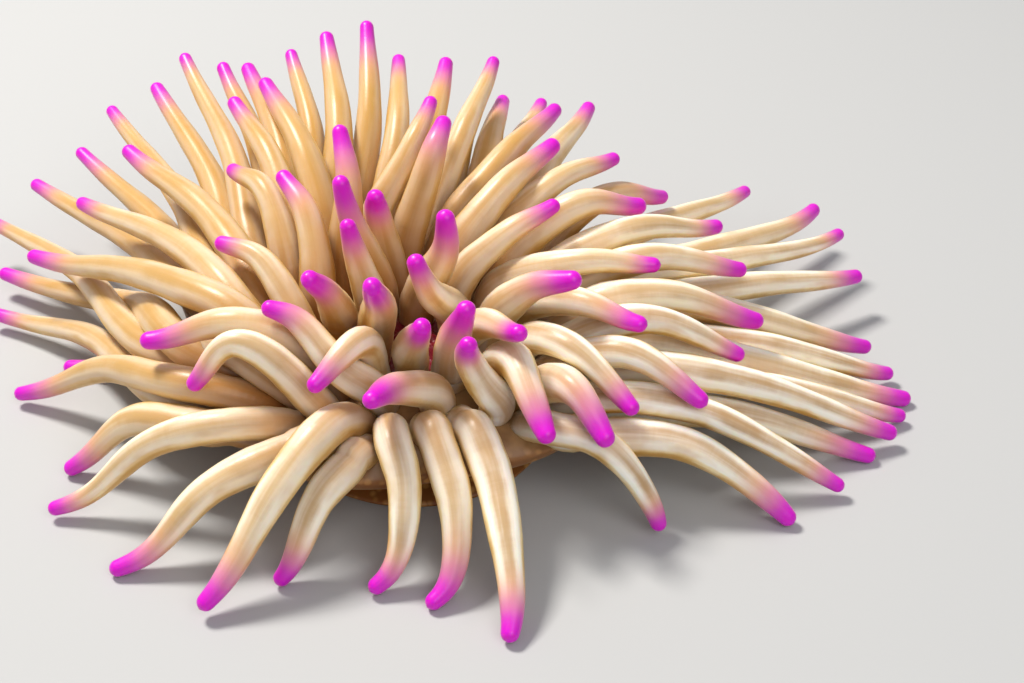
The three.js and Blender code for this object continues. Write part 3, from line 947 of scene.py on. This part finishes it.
@dataclass(frozen=True)
class Flesh:
    """The one material of the skin: wet anemone flesh, a clear jelly over fine muscle.

    The jelly lets light in and glows golden where it is thin; golden flanks and backlit tentacles
    are painted glow on top of that. The lengthwise muscle under it gives satiny streaks, which are
    partly painted highlight, dark orange-brown towards the roots is painted shade, and the wet
    surface gives a soft sheen.
    """

    tentacle: TentacleFlesh = TentacleFlesh()
    trunk: TrunkFlesh = TrunkFlesh()
    # Muscle strands, cross wrinkles and grain are drawn several times as coarse as the real
    # ones, which are too fine to show.
    strand_mm: float = 1.5
    strand_run_mm: float = 30.0
    wrinkle_mm: float = 1.1
    wrinkle_turn_mm: float = 12.0
    mottle_mm: float = 9.0
    mottle_run_mm: float = 16.0
    grain_mm: float = 0.5
    wart_mm: float = 2.6
    sheen: str = "#FFDC94"
    roughness: float = 0.38
    ior: float = 1.38
    jelly_share: float = 0.4
    jelly_glow: tuple = (0.9, 0.6, 0.26)
    jelly_depth_mm: float = 3.0
    sheen_share: float = 0.3
    sheen_roughness: float = 0.3
    wet_share: float = 0.22
    wet_roughness: float = 0.28
    noise_detail: float = 3.0
    strand_stray: float = 0.34
    stray_middle: float = -0.2
    ring_stray: float = 0.07
    patch_stray: float = 0.7
    # Rises of the satiny white, in part a painted highlight, and of the golden flanks, a painted glow.
    satin_and_highlight_rise: Rise = (0.25, 0.74, 1.0)
    cream_rise: Rise = (0.95, 1.2, 1.0)
    flank_glow_rise: Rise = (1.15, 1.4, 1.0)
    # Rise of the painted backlit glow.
    backlit_glow_rise: Rise = (0.0, 1.0, 0.9)
    patch_rise: Rise = (0.45, 0.75, 0.5)
    # Rise of the painted shade towards the root.
    root_amber_rise: Rise = (0.0, 1.0, 0.85)
    mauve_rise: Rise = (0.1, 0.24, 1.0)
    rose_rise: Rise = (0.2, 0.46, 1.0)
    blush_rise: Rise = (0.4, 0.8, 1.0)
    cap_end_rise: Rise = (0.3, 1.1, 1.0)
    column_rise: Rise = (0.2, 0.5, 1.0)
    disc_mottle_rise: Rise = (0.4, 0.7, 0.8)
    disc_rise: Rise = (0.55, 0.62, 1.0)
    lips_rise: Rise = (0.86, 0.91, 1.0)
    trunk_rise: Rise = (0.4, 0.6, 1.0)
    calm_least: float = 0.15
    calm_most: float = 0.8
    grain_detail: float = 2.0
    wrinkle_least: float = 0.25
    wrinkle_most: float = 1.2
    strand_height: float = 0.5
    grain_height: float = 0.3
    relief_strength: float = 0.35
    relief_mm: float = 0.35

    def build(self) -> bpy.types.Material:
        """Makes the material.

        Returns:
            The material.
        """
        material = bpy.data.materials.new("wet_anemone_flesh")
        material.use_nodes = True
        tree = material.node_tree
        tree.nodes.clear()
        names = ("zone", "side", "tip_share", "rootward_shade", "backlit_glow", "trunk_run", "fibre")
        where = {}
        for name in names:
            reader = add_node(tree, "ShaderNodeAttribute", {}, attribute_name=name)
            where[name] = reader.outputs["Vector" if name == "fibre" else "Fac"]
        where["object"] = add_node(tree, "ShaderNodeTexCoord", {}).outputs["Object"]
        shader = add_node(
            tree,
            "ShaderNodeBsdfPrincipled",
            {
                "Base Color": self.colour(tree, where),
                "Normal": self.relief(tree, where),
                "Roughness": self.roughness,
                "IOR": self.ior,
                "Subsurface Weight": self.jelly_share,
                "Subsurface Radius": self.jelly_glow,
                "Subsurface Scale": self.jelly_depth_mm * MM,
                "Sheen Weight": self.sheen_share,
                "Sheen Roughness": self.sheen_roughness,
                "Sheen Tint": linear(self.sheen),
                "Coat Weight": self.wet_share,
                "Coat Roughness": self.wet_roughness,
            },
        )
        add_node(tree, "ShaderNodeOutputMaterial", {"Surface": shader.outputs["BSDF"]})
        return material

    def streaks(self, tree: Tree, where: dict, across: float, along: float) -> Socket:
        """Noise on the unbent tentacle, so that it follows every bend and has no seam.

        Args:
            tree: The node tree.
            where: Sockets that say where a point lies.
            across: Size of its grains round the tentacle in millimetres.
            along: Size of its grains along the tentacle in millimetres.

        Returns:
            A value of about one half, give or take.
        """
        scale = (1.0 / across, 1.0 / across, 1.0 / along)
        inputs = {"Vector": where["fibre"], "Scale": scale}
        bar = add_node(tree, "ShaderNodeMapping", inputs, vector_type="POINT")
        inputs = {"Vector": bar.outputs["Vector"], "Scale": 1.0, "Detail": self.noise_detail}
        return add_node(tree, "ShaderNodeTexNoise", inputs).outputs["Fac"]

    def colour(self, tree: Tree, where: dict) -> Socket:
        """Colour of tentacles and trunk, chosen by the zone of each face.

        Args:
            tree: The node tree.
            where: Sockets that say where a point lies.

        Returns:
            The colour's socket.
        """
        tentacle, trunk = self.tentacle_colour(tree, where), self.trunk_colour(tree, where)
        return passage(tree, where["zone"], tentacle, (self.trunk_rise, trunk))

    def tentacle_colour(self, tree: Tree, where: dict) -> Socket:
        """Bands round a tentacle, dark orange-brown painted shade towards its root and violet at its
        cap.

        From the middle of the upper face to the flanks the bands run tan, partly painted shade, then a
        satiny white, partly painted highlight, then cream, then golden, painted glow. Fine strands and
        faint rings fray the edges of the bands, and broad patches shift them a little, so that none
        runs straight. Tentacles painted golden as backlit glow have fainter bands.

        Args:
            tree: The node tree.
            where: Sockets that say where a point lies.

        Returns:
            The colour's socket.
        """
        flesh = self.tentacle
        strands = self.streaks(tree, where, self.strand_mm, self.strand_run_mm)
        patches = self.streaks(tree, where, self.mottle_mm, self.mottle_run_mm)
        rings = self.streaks(tree, where, self.wrinkle_turn_mm, self.wrinkle_mm)
        frayed = (strands, self.strand_stray), (rings, self.ring_stray), (patches, self.patch_stray)
        side = self.stray_middle
        for value, share in (*frayed, (where["side"], 1.0)):
            side = {0: value, 1: share, 2: side}
            side = add_node(tree, "ShaderNodeMath", side, operation="MULTIPLY_ADD").outputs[0]
        # Painted light round the tentacle: a tan middle, partly painted shade, a satiny white, partly
        # painted highlight, cream, and golden flanks that are painted glow.
        bands = passage(
            tree,
            side,
            flesh.band_and_shade,
            (self.satin_and_highlight_rise, flesh.satin_and_highlight),
            (self.cream_rise, flesh.cream),
            (self.flank_glow_rise, flesh.gold_glow_and_tone),
        )
        # Painted backlit glow: tentacles further back and left turn golden, and their bands grow
        # fainter.
        golden = passage(tree, where["backlit_glow"], flesh.cream, (self.backlit_glow_rise, flesh.gold_glow_and_tone))
        calm = {0: where["backlit_glow"], 3: self.calm_least, 4: self.calm_most}
        calm = add_node(tree, "ShaderNodeMapRange", calm).outputs[0]
        base = {0: calm, 6: bands, 7: golden}
        base = add_node(tree, "ShaderNodeMix", base, data_type="RGBA").outputs[2]
        base = passage(tree, patches, base, (self.patch_rise, flesh.gold_glow_and_tone))
        # Painted shade: dark orange-brown deepens towards the root, the more on backlit tentacles.
        base = passage(tree, where["rootward_shade"], base, (self.root_amber_rise, flesh.shade_amber))
        return passage(
            tree,
            where["tip_share"],
            flesh.violet,
            (self.mauve_rise, flesh.mauve),
            (self.rose_rise, flesh.rose),
            (self.blush_rise, flesh.blush),
            (self.cap_end_rise, base),
        )

    def trunk_colour(self, tree: Tree, where: dict) -> Socket:
        """Warted column of orange-brown darkened as painted shade, brownish disc with darker mottles,
        and crimson lips.

        Args:
            tree: The node tree.
            where: Sockets that say where a point lies.

        Returns:
            The colour's socket.
        """
        flesh = self.trunk
        inputs = {"Vector": where["object"], "Scale": 1.0 / (self.wart_mm * MM)}
        warts = add_node(tree, "ShaderNodeTexVoronoi", inputs).outputs["Distance"]
        column = passage(tree, warts, flesh.wart, (self.column_rise, flesh.column))
        scale = 1.0 / (self.mottle_mm * MM)
        inputs = {"Vector": where["object"], "Scale": scale, "Detail": self.noise_detail}
        noise = add_node(tree, "ShaderNodeTexNoise", inputs).outputs["Fac"]
        disc = passage(tree, noise, flesh.disc, (self.disc_mottle_rise, flesh.disc_mottle))
        stops = ((self.disc_rise, disc), (self.lips_rise, flesh.lips))
        return passage(tree, where["trunk_run"], column, *stops)

    def relief(self, tree: Tree, where: dict) -> Socket:
        """Lengthwise strands, cross wrinkles that deepen towards the root, and fine grain.

        Args:
            tree: The node tree.
            where: Sockets that say where a point lies.

        Returns:
            The normal's socket.
        """
        strands = self.streaks(tree, where, self.strand_mm, self.strand_run_mm)
        wrinkles = self.streaks(tree, where, self.wrinkle_turn_mm, self.wrinkle_mm)
        scale = 1.0 / (self.grain_mm * MM)
        inputs = {"Vector": where["object"], "Scale": scale, "Detail": self.grain_detail}
        grain = add_node(tree, "ShaderNodeTexNoise", inputs).outputs["Fac"]
        deep = {0: where["rootward_shade"], 3: self.wrinkle_least, 4: self.wrinkle_most}
        deep = add_node(tree, "ShaderNodeMapRange", deep).outputs[0]
        height = 0.0
        for value, share in (strands, self.strand_height), (wrinkles, deep), (grain, self.grain_height):
            height = {0: value, 1: share, 2: height}
            height = add_node(tree, "ShaderNodeMath", height, operation="MULTIPLY_ADD").outputs[0]
        inputs = {"Strength": self.relief_strength, "Distance": self.relief_mm * MM, "Height": height}
        return add_node(tree, "ShaderNodeBump", inputs).outputs["Normal"]


@dataclass
class Skin:
    """The animal's one skin: trunk and crown joined in a mesh, with its maps and attributes."""

    trunk: Trunk
    crown: Crown
    finish: Flesh
    blush_least: float = 12.0
    blush_most: float = 24.0
    # How far from the root the painted shade reaches.
    root_shade_run: float = 34.0
    seed_step: float = 0.618
    # The painted backlit glow, by how far back and left a tentacle's root stands.
    glow_middle: float = 0.5
    glow_back: float = 110.0
    glow_left: float = 100.0
    glow_stray: float = 0.3
    # Least share of the painted shade by the root, on tentacles without backlit glow.
    root_shade_least: float = 0.35
    strips: int = 18
    strip_share: float = 0.16
    margin: float = 0.004

    def build(self) -> bpy.types.Object:
        """Makes the skin's object.

        Returns:
            The finished object.
        """
        trunk, crown = self.trunk.build(), self.crown.build()
        for shape in ("quads", "triangles"):
            crown[shape] = crown[shape] + len(trunk["points"])
        whole = {name: np.concatenate([trunk[name], crown[name]]) for name in trunk}
        mesh = bpy.data.meshes.new("skin")
        faces = whole["quads"].tolist() + whole["triangles"].tolist()
        mesh.from_pydata(whole["points"] * MM, [], faces)
        self.dress(mesh, whole)
        self.unwrap(mesh, whole)
        mesh.validate()
        mesh.materials.append(self.finish.build())
        mesh.shade_smooth()
        skin = bpy.data.objects.new("skin", mesh)
        bpy.context.scene.collection.objects.link(skin)
        return skin

    def dress(self, mesh: bpy.types.Mesh, whole: dict) -> None:
        """Gives every point the attributes that the material reads.

        The side runs from 0 on the upper and under face of a tentacle to 1 on its flanks, as the
        squared sine of its turn. Tentacles get the more painted backlit glow, the further back and left
        they stand, give or take a little at random, and their painted shade towards the root is deeper.

        Args:
            mesh: The joined mesh.
            whole: The joined arrays of trunk and crown.
        """
        owner, length = whole["owner"], whole["length"]
        on_trunk = owner < 0
        seed = np.mod(owner * self.seed_step, 1.0)
        # Painted backlit glow: the further back and left a root stands, the more golden its tentacle,
        # give or take a little at random.
        roots = self.crown.paths[:, 0]
        slope = roots[:, 1] / self.glow_back - roots[:, 0] / self.glow_left
        backward = (self.glow_middle + slope)[owner]
        backlit_glow = np.clip(backward + self.glow_stray * (seed - 0.5), 0.0, 1.0)
        from_root = np.where(on_trunk, 0.0, np.maximum(length, 0.0))
        blush = self.blush_least + (self.blush_most - self.blush_least) * seed
        # Painted shade towards the root, deeper on tentacles with more backlit glow.
        shade_amber = self.root_shade_least + (1 - self.root_shade_least) * backlit_glow
        layers = {
            "zone": np.where(on_trunk, Zone.TRUNK.value, Zone.TENTACLE.value),
            "side": np.where(on_trunk, 0.0, np.sin(2 * math.pi * whole["turn"]) ** 2),
            "tip_share": whole["from_tip"] / blush,
            "rootward_shade": shade_amber * np.maximum(1 - from_root / self.root_shade_run, 0.0),
            "backlit_glow": backlit_glow,
            "trunk_run": np.where(on_trunk, length / length[on_trunk].max(), 0.0),
        }
        for name, values in layers.items():
            attribute = mesh.attributes.new(name, "FLOAT", "POINT")
            attribute.data.foreach_set("value", values.astype(np.float32))
        attribute = mesh.attributes.new("fibre", "FLOAT_VECTOR", "POINT")
        attribute.data.foreach_set("vector", whole["fibre"].astype(np.float32).ravel())

    def unwrap(self, mesh: bpy.types.Mesh, whole: dict) -> None:
        """Lays every tentacle out as an upright strip of its own, and the trunk above them.

        Args:
            mesh: The joined mesh.
            whole: The joined arrays of trunk and crown.
        """
        quads, triangles = whole["quads"], whole["triangles"]
        corners = np.concatenate([quads.ravel(), triangles.ravel()])
        owner, length, turn = (whole[name][corners] for name in ("owner", "length", "turn"))
        faces = len(quads) + len(triangles)
        face = np.repeat(np.arange(faces), np.repeat([4, 3], [len(quads), len(triangles)]))
        highest = np.zeros(faces)
        np.maximum.at(highest, face, turn)
        # A face across the seam has corners in the last and in the first quarter of the turn.
        turn = turn + ((highest[face] > 1 - QUARTER) & (turn < QUARTER))
        column, row = owner % self.strips, owner // self.strips
        wide = 1.0 / self.strips
        # A strip is narrow, so that the gap beside it is a larger share of its width.
        gap = 4 * self.margin
        strip_u = (column + gap + turn * (1 - 2 * gap)) * wide
        on_trunk = owner < 0
        lowest = length[~on_trunk].min()
        share = (length - lowest) / (length[~on_trunk].max() - lowest)
        strip_v = row * self.strip_share + self.margin + share * (self.strip_share - 2 * self.margin)
        start = self.strip_share * math.ceil(len(self.crown.paths) / self.strips) + self.margin
        trunk_u = self.margin + turn * (1 - 2 * self.margin)
        trunk_v = start + length / length[on_trunk].max() * (1.0 - start - self.margin)
        u = np.where(on_trunk, trunk_u, strip_u)
        v = np.where(on_trunk, trunk_v, strip_v)
        bake = mesh.uv_layers.new(name=BAKE_MAP)
        bake.data.foreach_set("uv", np.stack([u, v], 1).astype(np.float32).ravel())


@dataclass(frozen=True)
class PaleBoard:
    """The floor's finish: matt painted board, which takes soft shadows and has no gloss."""

    colour: str = "#B4B5B6"
    roughness: float = 0.9

    def build(self) -> bpy.types.Material:
        """Makes the material.

        Returns:
            The material.
        """
        material = bpy.data.materials.new("matt_painted_board")
        material.use_nodes = True
        tree = material.node_tree
        tree.nodes.clear()
        inputs = {"Base Color": linear(self.colour), "Roughness": self.roughness}
        shader = add_node(tree, "ShaderNodeBsdfPrincipled", inputs)
        add_node(tree, "ShaderNodeOutputMaterial", {"Surface": shader.outputs["BSDF"]})
        return material


@dataclass(frozen=True)
class Lamp:
    """A soft square light: its place and side in metres, its power in watts and its colour."""

    name: str
    at: tuple
    size: float
    watts: float
    colour: str


@dataclass
class Studio:
    """Pale floor, soft lights and the camera."""

    finish: PaleBoard
    floor_reach: float = 6.0
    focal_pixels: float = 1872.0
    pitch_down: float = 35.0
    camera_mm: tuple = (24.9, -392.7, 302.1)
    aim: tuple = (0.0, 0.0, 0.02)
    surroundings: str = "#EEF1F6"
    surroundings_strength: float = 0.4
    nearest: float = 0.01
    lamps: tuple = (
        Lamp("key", (-0.5, 0.36, 1.1), 0.28, 20.5, "#FFFAF2"),
        Lamp("fill", (0.4, -0.9, 0.9), 0.9, 7.0, "#FDFCFA"),
    )

    def floor(self) -> bpy.types.Object:
        """Makes the pale floor that the animal rests on.

        Returns:
            The floor's object.
        """
        far = self.floor_reach
        mesh = bpy.data.meshes.new("floor")
        corners = [(-far, -far, 0), (far, -far, 0), (far, far, 0), (-far, far, 0)]
        mesh.from_pydata(corners, [], [(0, 1, 2, 3)])
        mesh.materials.append(self.finish.build())
        floor = bpy.data.objects.new("floor", mesh)
        bpy.context.scene.collection.objects.link(floor)
        return floor

    def light(self, lamp: Lamp) -> None:
        """Hangs a light so that it looks at the animal.

        Args:
            lamp: What light it is.
        """
        data = bpy.data.lights.new(lamp.name, "AREA")
        data.size = lamp.size
        data.energy = lamp.watts
        data.color = linear(lamp.colour)[:3]
        light = bpy.data.objects.new(lamp.name, data)
        light.location = lamp.at
        toward = Vector(self.aim) - Vector(lamp.at)
        light.rotation_euler = toward.to_track_quat("-Z", "Y").to_euler()
        bpy.context.scene.collection.objects.link(light)

    def camera(self) -> None:
        """Sets up the camera, which looks down on the animal along +Y."""
        lens = bpy.data.cameras.new("camera")
        lens.sensor_width = SENSOR_MM
        lens.lens = self.focal_pixels / IMAGE_WIDTH * SENSOR_MM
        lens.clip_start = self.nearest
        eye = bpy.data.objects.new("camera", lens)
        eye.location = [value * MM for value in self.camera_mm]
        eye.rotation_euler = (math.radians(QUARTER * TURN - self.pitch_down), 0.0, 0.0)
        bpy.context.scene.collection.objects.link(eye)
        bpy.context.scene.camera = eye

    def build(self) -> bpy.types.Object:
        """Sets up floor, lights, surroundings and camera.

        Returns:
            The floor's object.
        """
        world = bpy.data.worlds.new("soft_studio")
        world.use_nodes = True
        background = world.node_tree.nodes["Background"]
        background.inputs["Color"].default_value = linear(self.surroundings)
        background.inputs["Strength"].default_value = self.surroundings_strength
        bpy.context.scene.world = world
        bpy.context.scene.view_settings.view_transform = "Standard"
        for lamp in self.lamps:
            self.light(lamp)
        self.camera()
        return self.floor()


def main() -> None:
    """Builds the skin and the studio, and tells the frame what stands for what."""
    logging.basicConfig(level=logging.INFO)
    trunk = Trunk()
    crown = Crown(trunk)
    crown.grow()
    crown.settle()
    crown.soften()
    skin = Skin(trunk, crown, Flesh()).build()
    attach(skin, "root")
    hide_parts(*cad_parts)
    triangles = sum(len(face.vertices) - 2 for face in skin.data.polygons)
    LOG.info("skin: %d tentacles, %d triangles", len(crown.paths), triangles)
    floor = Studio(PaleBoard()).build()
    LOG.info("floor: %s", tuple(floor.dimensions))


if __name__ == "__main__":
    main()
